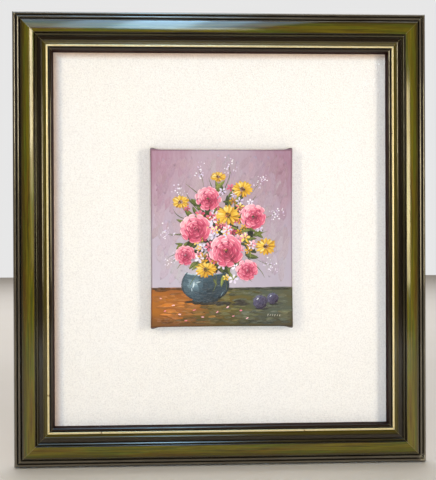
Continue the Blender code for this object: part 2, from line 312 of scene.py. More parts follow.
def cavityMm(section, reach=1.9):
    # how far each point lies under the line that a ball of that reach would roll along
    near = np.abs(section[:, None, 0] - section[None, :, 0]) < reach
    high = np.where(near, section[None, :, 1], -1e9).max(1)
    bridge = np.where(near, high[None, :], 1e9).min(1)
    return np.clip(bridge - section[:, 1], 0, None)


sideDirections = {
    "top": (Vector((1, 0, 0)), Vector((0, 0, -1))),
    "bottom": (Vector((1, 0, 0)), Vector((0, 0, 1))),
    "left": (Vector((0, 0, 1)), Vector((1, 0, 0))),
    "right": (Vector((0, 0, 1)), Vector((-1, 0, 0))),
}


def sideSizes(side):
    wide, tall = rightEdge - leftEdge, topEdge - bottomEdge
    return (wide, tall) if side in ("top", "bottom") else (tall, wide)


def mitredGrid(side, section, stations, gapMm):
    # The section carried along one side. A row's distance along the side shrinks with the distance in
    # from the outer edge, so both ends come out cut at 45 degrees.
    along, inward = sideDirections[side]
    length, reach = sideSizes(side)
    across, up = section[:, 0] / 1000, section[:, 1] / 1000
    travel = stations[:, None] * (length / 2 - across[None, :] - gapMm / 1000)
    place = np.array(frameMiddle)[None, None, :] + travel[..., None] * np.array(along)
    place = place + (across - reach / 2)[None, :, None] * np.array(inward)
    place[..., 1] -= up[None, :]
    return place, travel


def lacquerMaterial():
    # Olive lacquer over wood: colour bands across the moulding, streaks along it, painted shade in the
    # quirks, a pale line at the mitres, small chips at one corner, and a satin gloss.
    material, tree, shader = newMaterial("olive_lacquer_wood")
    uv = mapPlace(tree, "along_across")
    zone, cavity, mitre = (readAttribute(tree, name).outputs["Fac"] for name in ("zone", "cavity", "mitre"))
    wander = fitRange(noise(stretched(uv, (14, 60, 1)), 1, 2), 0, 1, -0.012, 0.012)
    base = colourBands(sums("ADD", zone, wander), [(at, moulding[name]) for at, name in moulding["bands"]])
    streaks = noise(stretched(uv, (13, 420, 1)), 1, 5, 0.62, 0.6)
    patches = noise(stretched(uv, (6, 130, 1)), 1, 3, 0.55)
    tints = noise(stretched(uv, (9, 210, 7)), 1, 3, 0.55)
    grain = noise(stretched(uv, (60, 1500, 1)), 1, 3, 0.6)
    isOlive = sums("MULTIPLY", fitRange(zone, 0.24, 0.3), fitRange(zone, 0.6, 0.57))
    browner = sums("MULTIPLY", fitRange(patches, 0.5, 0.64, 0, 0.75), isOlive)
    greener = sums("MULTIPLY", fitRange(tints, 0.5, 0.62, 0, 0.7), isOlive)
    base = mixColours(browner, base, moulding["brownStreak"])
    base = mixColours(greener, base, moulding["greenStreak"])
    # darker streaks and grain, then painted shade that deepens with the cavity, near black deep in the quirks
    for factor, dark in ((fitRange(streaks, 0.42, 0.7, 0, 0.85), (0.36, 0.28, 0.2, 1)),
                         (fitRange(grain, 0.4, 0.7, 0, 0.4), (0.5, 0.5, 0.45, 1)),
                         (fitRange(cavity, 0.25, 1.6, 0, 0.9, True), (0.06, 0.04, 0.03, 1))):
        base = mixColours(factor, base, dark, "MULTIPLY")
    ragged = fitRange(noise(stretched(uv, (900, 900, 1)), 1, 2), 0, 1, -0.0004, 0.0004)
    seam = fitRange(sums("ADD", mitre, ragged), 0.0001, 0.0006, 1, 0, True)
    base = mixColours(sums("MULTIPLY", seam, 0.42), base, moulding["seam"])
    # small chips where the beads meet at the lower right corner
    where = objectPlace(tree)
    chipPlace = (rightEdge - moulding["chipFromEdge"], 0, bottomEdge + moulding["chipFromEdge"])
    distance = addNode(tree, "ShaderNodeVectorMath", {"operation": "DISTANCE"},
                       {0: stretched(where, (1, 0, 1)), 1: chipPlace}).outputs["Value"]
    chips = sums("MULTIPLY", fitRange(noise(where, 620, 2), 0.5, 0.56),
                 fitRange(distance, 0.0025, 0.0085, 0.9, 0, True))
    base = mixColours(chips, base, moulding["chip"])
    rough = sums("ADD", fitRange(streaks, 0.3, 0.7, 0.07, 0.14), fitRange(cavity, 0.3, 1.6, 0, 0.3))
    fillInputs(shader, {"Base Color": base, "Roughness": rough, "Specular IOR Level": 0.62,
                        "Specular Tint": (1.0, 0.97, 0.88, 1),
                        "Normal": raised(grain, 0.000012, raised(streaks, 0.00005))})
    return material


def innerWallMaterial():
    # the steep inner wall is stained dark red-brown and left without gloss, with fine streaks along it
    material, tree, shader = newMaterial("stained_inner_wall")
    streaks = noise(stretched(mapPlace(tree, "along_across"), (40, 900, 1)), 1, 4, 0.6)
    base = mixColours(fitRange(streaks, 0.35, 0.7), moulding["innerWall"], moulding["innerWallDark"])
    fillInputs(shader, {"Base Color": base, "Roughness": 0.75, "Specular IOR Level": 0.08,
                        "Normal": raised(streaks, 0.00004)})
    return material


def bareWoodMaterial(name, colour, uvName=None, turn=(0, 0, 0)):
    # Planed softwood: long soft rings, fine fibre lines and a few darker pores
    material, tree, shader = newMaterial(name)
    where = mapPlace(tree, uvName) if uvName else objectPlace(tree)
    ringScale, fibreScale = ((5, 150, 1), (30, 2200, 1)) if uvName else ((5, 150, 150), (30, 1600, 1600))
    rings = noise(stretched(where, ringScale, turn), 1, 3, 0.5, 1.5)
    fibres = noise(stretched(where, fibreScale, turn), 1, 3, 0.6)
    base = mixColours(fitRange(rings, 0.35, 0.7), colour, (0.42, 0.25, 0.12, 1))
    base = mixColours(fitRange(fibres, 0.4, 0.8, 0, 0.6), base, (0.5, 0.42, 0.34, 1), "MULTIPLY")
    fillInputs(shader, {"Base Color": base, "Roughness": 0.72, "Normal": raised(fibres, 0.00008)})
    return material


def makeMoulding():
    # The front line and the hidden rebate make one closed section, which is carried along each side. Its
    # faces are lacquered in front, stained on the inner wall, and bare wood behind and at the ends.
    front = mouldingSection()
    hidden = np.array(moulding["rebate"])
    section = np.concatenate([front, hidden])
    count = len(section)
    walk = np.concatenate([section, section[:1]])
    arcLength = np.concatenate([[0], np.cumsum(np.linalg.norm(np.diff(walk, axis=0), axis=1))]) / 1000
    cavity = np.concatenate([cavityMm(front), np.zeros(len(hidden))])
    # a last row close to each mitre keeps the shading even right up to it
    stations = np.concatenate([[-1], np.linspace(-1 + moulding["endRow"], 1 - moulding["endRow"],
                                                 moulding["stations"]), [1]])
    lacquer = lacquerMaterial()
    wall = innerWallMaterial()
    bareWood = bareWoodMaterial("bare_moulding_wood", moulding["bare"], "along_across")
    for side in sideDirections:
        points, travel = mitredGrid(side, section, stations, moulding["gapMm"])
        flat = points.reshape(-1, 3)
        quads, caps = closedLength(flat, len(stations), count)
        piece = newPiece(f"moulding_{side}", flat, quads.tolist() + caps, lacquer)
        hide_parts(f"frame_rail_{side}")
        mesh = piece.data
        mesh.materials.append(bareWood)
        mesh.materials.append(wall)
        column = quads % count
        wraps = (column == 0).any(1) & (column == count - 1).any(1)
        isBack = ((column >= len(front) - 1).sum(1) >= 3) | wraps
        isWall = (section[column, 0] > widthMm - moulding["wallDepthMm"]).all(1) & ~isBack
        slots = np.concatenate([isBack + 2 * isWall, [1, 1]])
        mesh.polygons.foreach_set("material_index", slots)
        smooth = np.ones(len(slots), dtype=bool)
        smooth[-2:] = False
        mesh.polygons.foreach_set("use_smooth", smooth)
        # each corner of a face gets its distance along the side and its distance along the section
        acrossUv = arcLength[column]
        acrossUv[wraps] = np.where(column[wraps] == 0, arcLength[-1], acrossUv[wraps])
        alongUv = travel.reshape(-1)[quads]
        capUv = np.concatenate([section[np.array(cap) % count] for cap in caps]) / 1000
        uv = np.concatenate([np.stack([alongUv, acrossUv], -1).reshape(-1, 2), capUv])
        mesh.uv_layers.new(name="along_across").data.foreach_set("uv", uv.astype(np.float32).ravel())
        mitre = (sideSizes(side)[0] / 2 - section[:, 0] / 1000)[None, :] - np.abs(travel)
        writeAttribute(piece, "zone", np.tile(section[:, 0] / widthMm, len(stations)))
        writeAttribute(piece, "cavity", np.tile(cavity, len(stations)))
        writeAttribute(piece, "mitre", mitre)
    print("moulding:", count, "points in the section")


makeMoulding()

# The gilt line on the moulding's inner bead
giltLine = {
    "standsMm": 0.05,         # over the wood of its bead
    "sunkMm": 0.3,            # its underside, in the wood
    "insetMm": 0.05,          # from the sides of the bead
    "gapMm": 0.02,            # between two lengths at a mitre
    "colour": (238, 225, 182),
    "mottled": (228, 206, 150),
    "rubbed": (120, 74, 30),
    "stations": 241,
    "nicks": (("bottom", -0.173, 0.0016), ("left", -0.222, 0.0016), ("bottom", 0.118, 0.0009),
              ("right", 0.151, 0.0008), ("top", -0.071, 0.0007)),
}


def giltMaterial():
    # Bright gold foil: a metal that is slightly mottled, rubbed to red-brown at its edges and nicks
    material, tree, shader = newMaterial("bright_gilding")
    where = objectPlace(tree)
    mottle = noise(where, 420, 4, 0.6)
    specks = fitRange(noise(where, 1900, 2, 0.5), 0.3, 0.7, -0.28, 0.28)
    worn = sums("ADD", readAttribute(tree, "wear").outputs["Fac"], specks)
    worn = fitRange(worn, 0.55, 0.75, 0, 1, True)
    base = mixColours(fitRange(mottle, 0.3, 0.7), giltLine["colour"], giltLine["mottled"])
    fillInputs(shader, {"Base Color": mixColours(worn, base, giltLine["rubbed"]),
                        "Metallic": fitRange(worn, 0, 1, 0.5, 0.0),
                        "Roughness": fitRange(mottle, 0.3, 0.7, 0.3, 0.42),
                        "Normal": raised(mottle, 0.00003)})
    return material


def makeGiltLine():
    # The bead's arc, a little proud of the wood, carried round all four sides as thin closed lengths
    middle, half, foot, rise = giltBead
    inset, under = giltLine["insetMm"], foot - giltLine["sunkMm"]
    top = arcMm((middle, foot), half - inset, rise + giltLine["standsMm"], 172, 8, 15)
    section = np.concatenate([top, [(middle + half - 2 * inset, under), (middle - half + 2 * inset, under)]])
    count = len(section)
    edge = np.concatenate([np.abs(top[:, 0] - middle) / half, [1, 1]]) ** 6
    points, faces, wear = [], [], []
    stations = np.linspace(-1, 1, giltLine["stations"])
    for index, side in enumerate(sideDirections):
        place, travel = mitredGrid(side, section, stations, giltLine["gapMm"])
        flat = place.reshape(-1, 3)
        quads, caps = closedLength(flat, len(stations), count)
        start = index * len(flat)
        nick = np.zeros_like(travel)
        for nickSide, at, size in giltLine["nicks"]:
            if nickSide == side:
                nick = np.maximum(nick, np.exp(-((travel - at) / size) ** 2))
        points.append(flat)
        faces += (quads + start).tolist() + [[corner + start for corner in cap] for cap in caps]
        wear.append(np.maximum(np.tile(edge * 0.62, (len(stations), 1)), nick))
    piece = newPiece("gilt_line", np.concatenate(points), faces, giltMaterial())
    writeAttribute(piece, "wear", np.concatenate([one.ravel() for one in wear]))
    print("gilt line:", len(piece.data.polygons), "faces")


makeGiltLine()

# The mount board and the back
mountPaper = {
    "colour": (248, 243, 238),
    "shade": (240, 233, 226),
    "cloud": (244, 240, 240),
    "spot": (226, 220, 217),
    "paintedEdgeShade": (228, 202, 182),    # painted warm shade along the frame's left and top edges, where the frame's shadow falls on the paper
    "paintedEdgeShadeRun": 0.011,           # how far in from those edges
    "crinkleMm": 0.26,
}
back = {
    "hardboard": (118, 82, 54),
    "hardboardFleck": (146, 106, 72),
    "pine": (214, 184, 140),
    "zinc": ((190, 190, 186), (140, 138, 132), 0.3),       # clean, tarnished, least roughness
    "brass": ((214, 178, 104), (150, 112, 58), 0.28),
}


def mountPaperMaterial():
    # Cream paper pressed with a fine crinkle: ridges between small cells, bent by a coarser noise
    material, tree, shader = newMaterial("crinkled_cream_paper")
    where = objectPlace(tree)
    bend = addNode(tree, "ShaderNodeTexNoise", None, {"Vector": where, "Scale": 260, "Detail": 2})
    shifted = addNode(tree, "ShaderNodeVectorMath", {"operation": "MULTIPLY_ADD"},
                      {0: bend.outputs["Color"], 1: (0.004, 0.004, 0.004), 2: where}).outputs["Vector"]
    cells = addNode(tree, "ShaderNodeTexVoronoi", {"feature": "DISTANCE_TO_EDGE"},
                    {"Vector": shifted, "Scale": 430}).outputs["Distance"]
    ridges = fitRange(cells, 0.0, 0.32, 1, 0, True)
    height = sums("ADD", ridges, sums("MULTIPLY", noise(where, 1500, 3, 0.6), 0.5))
    base = mixColours(fitRange(ridges, 0, 1, 0.0, 0.5), mountPaper["colour"], mountPaper["shade"])
    base = mixColours(fitRange(noise(where, 9, 2, 0.5), 0.3, 0.7, 0, 0.35), base, mountPaper["cloud"])
    base = mixColours(fitRange(noise(where, 470, 3, 0.6), 0.46, 0.7, 0, 0.75), base, mountPaper["spot"])
    # painted warm shade, strongest at the left and top sight edges and fading a little way in
    parts = addNode(tree, "ShaderNodeSeparateXYZ", None, {"Vector": where}).outputs
    fromLeft = sums("SUBTRACT", parts["X"], leftEdge + widthMm / 1000)
    fromTop = sums("SUBTRACT", topEdge - widthMm / 1000, parts["Z"])
    paintedEdgeShade = fitRange(sums("MINIMUM", fromLeft, fromTop), 0, mountPaper["paintedEdgeShadeRun"], 1, 0, True)
    fillInputs(shader, {"Base Color": mixColours(paintedEdgeShade, base, mountPaper["paintedEdgeShade"], "MULTIPLY"),
                        "Roughness": 0.85, "Specular IOR Level": 0.25,
                        "Normal": raised(height, mountPaper["crinkleMm"] / 1000)})
    return material


def hardboardMaterial():
    # Pressed fibres: fine flecks of two browns under soft darker clouds
    material, tree, shader = newMaterial("brown_hardboard")
    where = objectPlace(tree)
    fleck = noise(stretched(where, (500, 500, 900)), 1, 4, 0.7)
    cloud = fitRange(noise(where, 12, 3, 0.5), 0.3, 0.7, 0, 0.5)
    base = mixColours(fitRange(fleck, 0.35, 0.7), back["hardboard"], back["hardboardFleck"])
    fillInputs(shader, {"Base Color": mixColours(cloud, base, (0.7, 0.66, 0.62, 1), "MULTIPLY"),
                        "Roughness": 0.6, "Normal": raised(fleck, 0.00005)})
    return material


def metalMaterial(name, colour, tarnish, roughness):
    # Plated steel: a clouded metal with fine scratches and dull spots
    material, tree, shader = newMaterial(name)
    where = objectPlace(tree)
    cloud = noise(where, 260, 4, 0.6)
    scratch = noise(stretched(where, (300, 300, 6000)), 1, 2)
    fillInputs(shader, {"Base Color": mixColours(fitRange(cloud, 0.35, 0.7), colour, tarnish),
                        "Metallic": 1.0,
                        "Roughness": fitRange(cloud, 0.3, 0.7, roughness, roughness + 0.2),
                        "Normal": raised(scratch, 0.00001)})
    return material


def dress(node, material):
    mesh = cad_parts[node].data
    mesh.materials.clear()
    mesh.materials.append(material)


def dressBack():
    dress("mount_board", mountPaperMaterial())
    dress("backing_board", hardboardMaterial())
    barWood = bareWoodMaterial("planed_pine_across", back["pine"])
    barWoodUp = bareWoodMaterial("planed_pine_upright", back["pine"], None, (0, math.radians(90), 0))
    zinc = metalMaterial("zinc_plate", *back["zinc"])
    brass = metalMaterial("brass_plate", *back["brass"])
    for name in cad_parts:
        if name.startswith("stretcher_bar_"):
            dress(name, barWood if name.endswith(("top", "bottom")) else barWoodUp)
        elif name.startswith("board_clip_"):
            dress(name, zinc)
        elif name.startswith(("clip_screw_", "sawtooth_hanger", "hanger_nail_")):
            dress(name, brass)
    print("mount board and back dressed")


dressBack()

# The stretched canvas
canvas = {
    "halfWide": 0.1016,
    "halfTall": 0.127,
    "thick": 0.0006,
    "cornerSwell": 0.0007,    # how far the corners stand out
    "sideBow": 0.0002,        # how far the middle of each side is drawn in
    "foldRise": 0.0024,       # the folded corners stand over the top and bottom edges
    "foldInset": 0.0022,      # the fold's top, in from the corner
    "foldRun": 0.0062,        # and how far it runs along the edge
    "edgeRadius": 0.0015,
    "sideDepth": 0.0176,      # the cloth's sides, from front to back
    "turnIn": 0.022,          # and its edge turned in behind the bars
    "cornerRadius": 0.0012,   # seen from the front
    "innerRadius": 0.0006,    # of the inner face and the turned-in edge
    "pointsPerSide": 56,
    # the air's colour from the table's edge up, and the table's from left to right
    "air": ((0.0, (194, 184, 197)), (0.3, (191, 176, 190)), (0.72, (184, 157, 172)),
            (1.0, (184, 162, 173))),
    "table": ((0.0, (174, 106, 38)), (0.22, (160, 96, 48)), (0.42, (112, 92, 44)),
              (0.62, (92, 90, 56)), (0.82, (84, 90, 78)), (1.0, (92, 88, 62))),
    "corner": (168, 122, 142),
    "dryBrush": (206, 189, 203),
    "tableFront": (78, 62, 36),
    # painted shade along the rim, where the cloth turns over the edge
    "rim": (182, 168, 170),
    # painted shade on the folded corners
    "fold": (100, 90, 92),
}


def clothOutline(halfWide, halfTall, radius, swell, bow, rise):
    # A rectangle with round corners, as points in order round it. The middles of its sides are drawn in,
    # its corners swell, and a bell-shaped fold stands over the top and bottom edges near each corner.
    quarter = np.radians(np.linspace(0, 90, 7))
    turns, sides = [], canvas["pointsPerSide"]
    for signX, signZ, start in ((1, 1, 0), (-1, 1, 90), (-1, -1, 180), (1, -1, 270)):
        angle = quarter + math.radians(start)
        turns.append(np.stack([signX * (halfWide - radius) + radius * np.cos(angle),
                               signZ * (halfTall - radius) + radius * np.sin(angle)], -1))
    share = ((1 - np.cos(np.pi * np.arange(1, sides) / sides)) / 2)[:, None]
    line = []
    for index in range(4):
        begin, end = turns[index][-1], turns[(index + 1) % 4][0]
        line += [turns[index], begin + (end - begin) * share]
    line = np.concatenate(line)
    outX, outZ = np.abs(line[:, 0]) / halfWide, np.abs(line[:, 1]) / halfTall
    fold = rise * np.exp(-((halfWide - canvas["foldInset"] - np.abs(line[:, 0])) / canvas["foldRun"]) ** 2)
    shiftX = swell * outZ ** 3 * outX ** 4 - bow * (1 - outZ ** 2) * outX ** 4
    shiftZ = swell * 0.5 * outX ** 3 * outZ ** 4 - bow * (1 - outX ** 2) * outZ ** 4 + fold * outZ ** 60
    return line + np.sign(line) * np.stack([shiftX, shiftZ], -1)


def paintGroundColour(tree, where):
    # The picture's ground: lilac air over a dark table, blended by eye with slanting soft strokes.
    # Height and side are read from Object coordinates, counted from the middle of the canvas.
    values = {"Vector": where, "Location": (0, 0, -canvasMiddle.z)}
    centred = addNode(tree, "ShaderNodeMapping", None, values).outputs["Vector"]
    parts = addNode(tree, "ShaderNodeSeparateXYZ", None, {"Vector": centred}).outputs
    side, height = parts["X"], parts["Z"]
    outSide, outHeight = sums("ABSOLUTE", side, 0), sums("ABSOLUTE", height, 0)
    brush = noise(stretched(centred, (26, 26, 13), (0, 0.35, 0)), 1, 4, 0.6, 0.8)
    dry = noise(stretched(centred, (300, 300, 60), (0, 0.3, 0)), 1, 3, 0.6)
    lift = sums("ADD", height, fitRange(brush, 0.2, 0.8, -0.035, 0.035))
    air = colourBands(fitRange(lift, -0.07, 0.125), canvas["air"])
    cornerPull = sums("ADD", outSide, sums("MULTIPLY", lift, 0.75))
    air = mixColours(fitRange(cornerPull, 0.105, 0.185, 0, 0.85, True), air, canvas["corner"])
    air = mixColours(fitRange(dry, 0.35, 0.7, 0, 0.22), air, canvas["dryBrush"])
    air = mixColours(fitRange(side, -0.02, 0.08), air, (0.88, 0.87, 0.89, 1), "MULTIPLY")
    tableBrush = noise(stretched(centred, (24, 24, 110), (0, 0.05, 0)), 1, 4, 0.6, 0.5)
    sweep = sums("ADD", side, fitRange(tableBrush, 0.2, 0.8, -0.04, 0.04))
    table = colourBands(fitRange(sweep, -0.11, 0.11), canvas["table"])
    table = mixColours(fitRange(height, -0.127, -0.1, 0.6, 0.0, True), table, canvas["tableFront"])
    ripple = fitRange(noise(stretched(centred, (22, 22, 22))), 0, 1, -0.002, 0.002)
    base = mixColours(fitRange(sums("ADD", height, ripple), -0.0700, -0.0718), air, table)
    # painted shade along the rim, where the cloth turns over the edge
    rimSide = sums("SUBTRACT", outSide, canvas["halfWide"])
    rimHeight = sums("SUBTRACT", outHeight, canvas["halfTall"])
    rim = fitRange(sums("MAXIMUM", rimSide, rimHeight), -0.0028, -0.0006, 0, 0.75, True)
    base = mixColours(rim, base, canvas["rim"], "MULTIPLY")
    # only the folded corners stand above this height, and they get a painted shade
    fold = fitRange(rimHeight, 0.0002, 0.0012, 0, 0.8, True)
    return mixColours(fold, base, canvas["fold"]), centred


def clothMaterial():
    # Primed cloth with thin oil paint: a plain weave of two crossed wave patterns under soft brush marks
    material, tree, shader = newMaterial("painted_cotton_cloth")
    where = objectPlace(tree)
    base, centred = paintGroundColour(tree, where)
    weave = [addNode(tree, "ShaderNodeTexWave", {"bands_direction": axis},
                     {"Vector": where, "Scale": 380, "Distortion": 1.2, "Detail": 1}).outputs["Fac"]
             for axis in ("X", "Z")]
    threads = sums("MULTIPLY", weave[0], weave[1])
    strokes = noise(stretched(centred, (420, 420, 60), (0, 0.4, 0)), 1, 3, 0.6, 0.4)
    base = mixColours(fitRange(threads, 0, 1, 0.12, 0), base, (0.7, 0.66, 0.7, 1), "MULTIPLY")
    fillInputs(shader, {"Base Color": base, "Roughness": 0.42, "Specular IOR Level": 0.4,
                        "Normal": raised(strokes, 0.00009, raised(threads, 0.00005))})
    return material


def ringOf(line, depth):
    return np.column_stack([line, np.full(len(line), depth)])


def makeCanvas():
    # Rings of the outline run from the middle of the face, over the edge and down the sides, round the
    # back to the turned-in edge, and return inside at the cloth's thickness. The poles are closed by fans.
    wide, tall = canvas["halfWide"], canvas["halfTall"]
    radius, thick, corner = canvas["edgeRadius"], canvas["thick"], canvas["cornerRadius"]
    form = canvas["cornerSwell"], canvas["sideBow"], canvas["foldRise"]
    face = clothOutline(wide - radius, tall - radius, corner, *form)
    rings = [ringOf(face * share, canvasFront) for share in np.linspace(0.02, 1, 45)]
    for angle in np.radians((22.5, 45, 67.5, 90)):
        inset = radius * (1 - math.sin(angle))
        line = clothOutline(wide - inset, tall - inset, corner, *form)
        rings.append(ringOf(line, canvasFront + radius * (1 - math.cos(angle))))
    for depth in np.linspace(canvasFront + radius, canvasBack, 9)[1:]:
        rings.append(ringOf(line, depth))
    turned = clothOutline(wide - canvas["turnIn"], tall - canvas["turnIn"], canvas["innerRadius"], 0, 0, 0)
    inner = clothOutline(wide - thick, tall - thick, canvas["innerRadius"], 0, 0, 0)
    insideBack, insideFront = canvasBack - thick, canvasFront + thick
    rings += [ringOf(turned, canvasBack), ringOf(turned, insideBack), ringOf(inner, insideBack)]
    rings += [ringOf(inner * share, insideFront) for share in (1, 0.6, 0.05)]
    rings = np.array(rings)
    count = rings.shape[1]
    grid = np.stack([rings[..., 0] + canvasMiddle.x, rings[..., 2], rings[..., 1] + canvasMiddle.z], -1)
    flat = grid.reshape(-1, 3)
    poles = np.array([(canvasMiddle.x, depth, canvasMiddle.z) for depth in (canvasFront, insideFront)])
    quads = gridFaces(len(rings), count)
    first, last = len(flat), len(flat) + 1
    after = (np.arange(count) + 1) % count
    start = (len(rings) - 1) * count
    fans = [[int(n), int(k), first] for k, n in enumerate(after)]
    fans += [[int(start + k), int(start + n), last] for k, n in enumerate(after)]
    flat = np.concatenate([flat, poles])
    piece = newPiece("canvas_cloth", flat, quads.tolist() + fans, clothMaterial())
    turnOutwards(piece.data)
    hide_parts("painted_canvas")


makeCanvas()

# The painted picture is a generic bunch of flowers in a bowl, laid down in dabs of paint. Places and
# sizes are in mm from the middle of the canvas, and colours are as they look on a screen.
picture = {
    "seed": 20,
    "tableEdge": -71.0,
    "bunch": (-3.0, 6.0, 60.0, 70.0),      # middle, half width, half height
    "bowl": (-24.0, -71.0, 34.0, 20.0),
    "roses": ((-38, 14, 22), (6, -18, 25), (-20, 57, 18), (45, 31, 19), (36, -46, 16), (-53, -24, 15)),
    "daisies": ((9, 33, 18, 0.85), (30, 70, 16, 0.8), (-5, 88, 12, 0.65), (63, -12, 16, 0.8),
                (-23, -45, 17, 0.7), (-59, 52, 13, 0.8)),
    "blossoms": (("pinks", 40), ("yellows", 34), ("whites", 26)),
    "plums": ((55, -92, 10.5), (73, -87, 8.5)),
    "underleaves": 60,
    "outerLeaves": 84,
    "innerLeaves": 30,
    "flowerLift": 0.24,                    # the large flowers stand over the small ones
    "blades": 18,
    "sprays": ((-60, 62, 118), (-30, 92, 104), (12, 98, 84), (52, 78, 58), (74, 34, 24), (-72, 6, 168),
               (-66, -30, 196), (66, -38, -24)),
    "groundStrokes": 420,
    "tableStrokes": 300,
    "edgeStrokes": 46,                     # of the table's, along its far edge
    "glow": ((-62, 34), (-94, 13), (196, 116, 32)),      # middle and reach both ways, and its colour
    "fallenPetals": ((-82, -104), (-70, -96), (-61, -109), (-40, -103), (-28, -113), (-7, -106), (8, -99),
                     (16, -112), (27, -104), (-52, -118), (-88, -86), (36, -115)),
    "pinks": ((112, 26, 50), (176, 50, 84), (216, 84, 116), (234, 122, 146), (246, 170, 186),
              (253, 222, 226)),
    "yellows": ((118, 66, 10), (184, 118, 16), (224, 166, 32), (242, 196, 62), (250, 220, 112),
                (255, 242, 190)),
    "greens": ((24, 28, 18), (48, 56, 26), (78, 86, 34), (112, 122, 50), (152, 160, 74), (196, 200, 112)),
    "slates": ((22, 30, 36), (42, 56, 66), (64, 84, 96), (96, 120, 132), (150, 172, 182), (220, 232, 236)),
    "whites": ((186, 160, 196), (216, 198, 224), (238, 228, 242), (252, 248, 252)),
    "browns": ((48, 28, 12), (92, 52, 18), (148, 88, 28), (206, 146, 52)),
    "airs": ((193, 183, 195), (191, 173, 185), (187, 164, 176), (183, 157, 170), (185, 164, 174)),
    "tables": ((156, 92, 26), (146, 88, 36), (110, 92, 42), (92, 90, 56), (84, 90, 78), (92, 88, 62)),
    "corner": (168, 122, 142),
}
dabForm = {
    "stations": 6,
    "footMm": -0.04,
    "across": (-1.0, -0.84, -0.34, 0.34, 0.84, 1.0),
    "rise": (0.0, 0.72, 1.0, 1.0, 0.72, 0.0),
    "apart": 0.0173,          # between the brush marks of one dab and the next
}


def paintTone(name, tone):
    # a tone from 0, dark, to 1, light, read between the paints of the named row
    paints = np.array(picture[name], dtype=float)
    place = np.clip(np.atleast_1d(tone), 0, 1) * (len(paints) - 1)
    low = np.minimum(place.astype(int), len(paints) - 2)
    return paints[low] + (paints[low + 1] - paints[low]) * (place - low)[:, None]


def dabRows(a, b, angle, length, width, bend, blunt, lean, base, thick, first, last=None):
    # one row for each dab: place, direction, size, bend, form, height and the colours of its two ends
    numbers = np.broadcast_arrays(*[np.atleast_1d(np.asarray(one, dtype=float)) for one in
                                    (a, b, angle, length, width, bend, blunt, lean, base, thick)])
    first = np.broadcast_to(first, (numbers[0].size, 3))
    last = first if last is None else np.broadcast_to(last, (numbers[0].size, 3))
    return np.column_stack([*numbers, first, last])


def layDabs(name, rows, material):
    # A dab is a surface of two parameters. Along it, its line turns evenly by its bend, and its width is
    # a sine raised to a power: a low power is a blunt dab and a high one a pointed leaf. Across it, the
    # section is a low arch with both feet in the cloth.
    a, b, angle, length, width, bend, blunt, lean, base, thick = (one[:, None] for one in rows[:, :10].T)
    stations = dabForm["stations"]
    share = np.linspace(0.02, 0.98, stations)[None, :]
    heading = angle + bend * (share - 0.5)
    between = (heading[:, 1:] + heading[:, :-1]) / 2
    step = length * (share[0, 1] - share[0, 0])
    lineA = np.pad(np.cumsum(np.cos(between) * step, 1), ((0, 0), (1, 0)))
    lineB = np.pad(np.cumsum(np.sin(between) * step, 1), ((0, 0), (1, 0)))
    lineA += a - lineA.mean(1, keepdims=True)
    lineB += b - lineB.mean(1, keepdims=True)
    swell = np.sin(np.pi * share ** lean) ** blunt
    across, rise = np.array(dabForm["across"]), np.array(dabForm["rise"])
    half = (width / 2 * swell)[..., None] * across
    pointA = lineA[..., None] - np.sin(heading)[..., None] * half
    pointB = lineB[..., None] + np.cos(heading)[..., None] * half
    top = (base + thick * np.sqrt(swell))[..., None] * rise
    height = np.where(rise == 0, dabForm["footMm"], top)
    points = np.stack([canvasMiddle.x + pointA / 1000, canvasFront - height / 1000,
                       canvasMiddle.z + pointB / 1000], -1).reshape(-1, 3)
    size = stations * len(across)
    starts = np.arange(len(rows)) * size
    quads = (gridFaces(stations, len(across))[None] + starts[:, None, None]).reshape(-1, 4)
    near = starts[:, None] + np.arange(len(across))[::-1]
    far = starts[:, None] + np.arange(size - len(across), size)
    piece = newPiece(name, points, quads.tolist() + near.tolist() + far.tolist(), material)
    turnOutwards(piece.data)
    mixed = rows[:, None, 10:13] + (rows[:, None, 13:16] - rows[:, None, 10:13]) * share[..., None]
    light = np.repeat(toLight(mixed)[:, :, None, :], len(across), 2).reshape(-1, 3)
    writeAttribute(piece, "paint", np.column_stack([light, np.ones(len(light))]), "FLOAT_COLOR", "color")
    # each dab's place along and across its stroke, and its number, so that no two dabs streak alike
    along = np.broadcast_to((length * share)[..., None], half.shape)
    order = np.broadcast_to(np.arange(len(rows))[:, None, None] * dabForm["apart"], half.shape)
    bristle = np.stack([along / 1000, half / 1000, order], -1)
    writeAttribute(piece, "bristle", bristle, "FLOAT_VECTOR", "vector")
    print(name, len(rows), "dabs")


